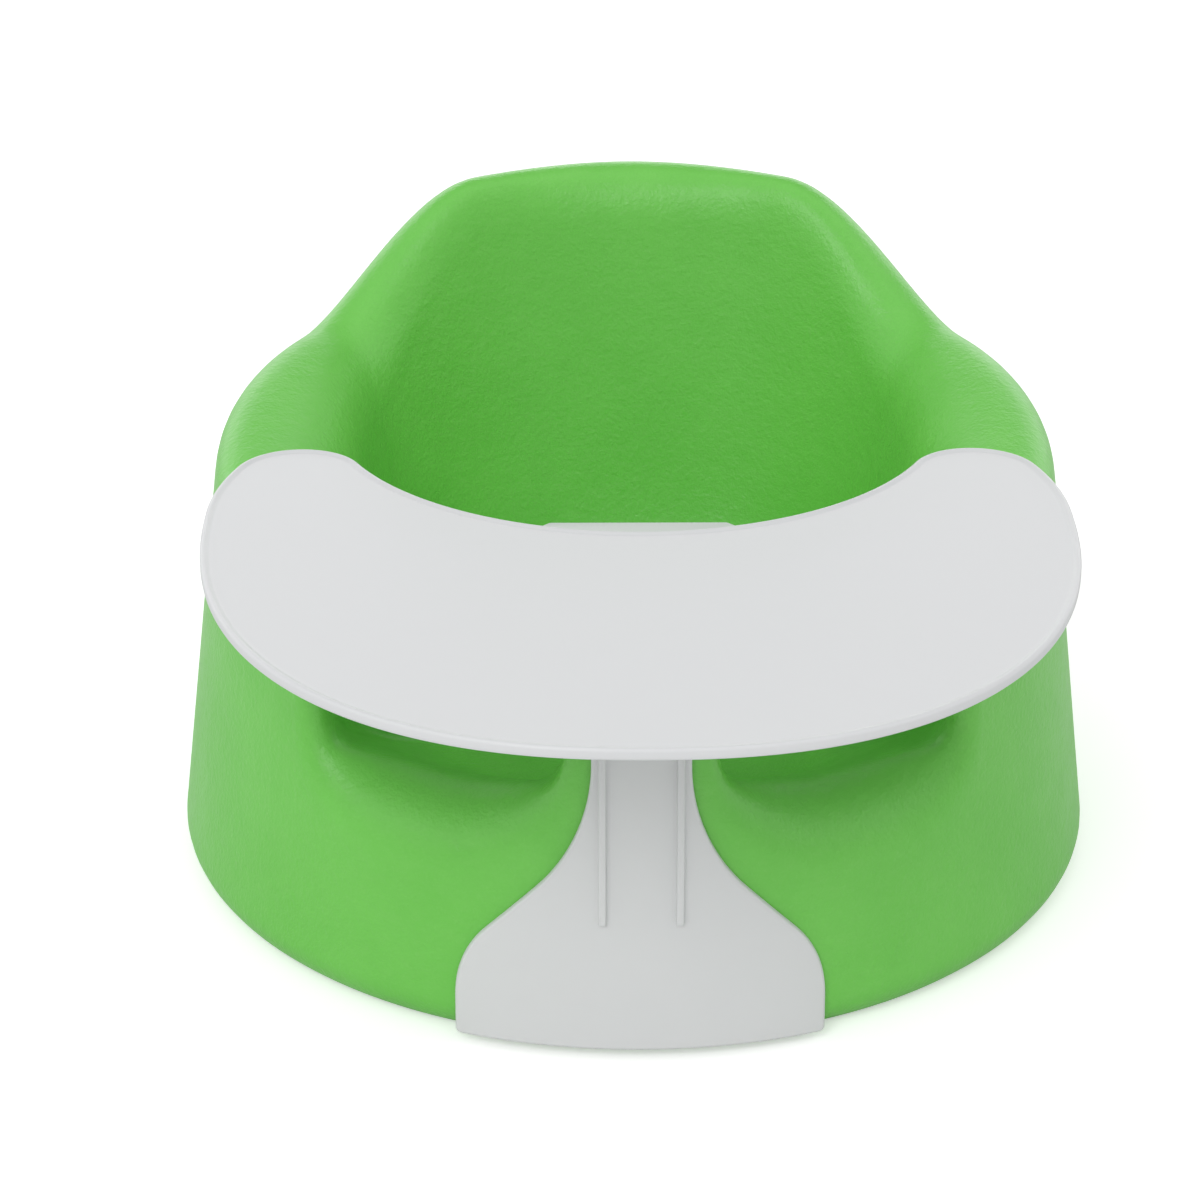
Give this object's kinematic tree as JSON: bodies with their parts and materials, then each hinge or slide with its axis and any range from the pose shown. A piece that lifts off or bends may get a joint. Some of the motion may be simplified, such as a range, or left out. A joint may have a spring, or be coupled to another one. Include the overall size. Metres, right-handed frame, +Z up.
{
  "type": "baby floor seat",
  "caption": "Moulded foam floor seat for a baby, with a raised back, leg openings beside a pommel, and a lift-off play tray that hooks over the pommel and stands on a front stem.",
  "frame": {"origin": "centre of the round base, on the floor", "axes": "+Z up, -Y towards the front with the tray, +X to the right of a viewer standing in front"},
  "size_m": [0.3796, 0.4869, 0.245],
  "materials": {
    "seat_foam": "moulded integral-skin polyurethane foam, matte with a soft sheen and a fine pebble",
    "tray_plastic": "smooth white polypropylene, satin",
    "stem_plastic": "smooth white polypropylene, satin",
    "hook_plastic": "smooth white polypropylene, satin",
    "screw_steel": "zinc-plated steel"
  },
  "bodies": {
    "seat": {"seat_foam": "seat_foam"},
    "tray": {"tray_deck": "tray_plastic", "front_stem": "stem_plastic", "pommel_hook": "hook_plastic", "tray_screws": "screw_steel"}
  },
  "joints": [
    {"name": "tray_lift", "type": "slide", "parent": "seat", "child": "tray", "axis": [0, 0, 1], "range_m": [0, 0.18]}
  ]
}
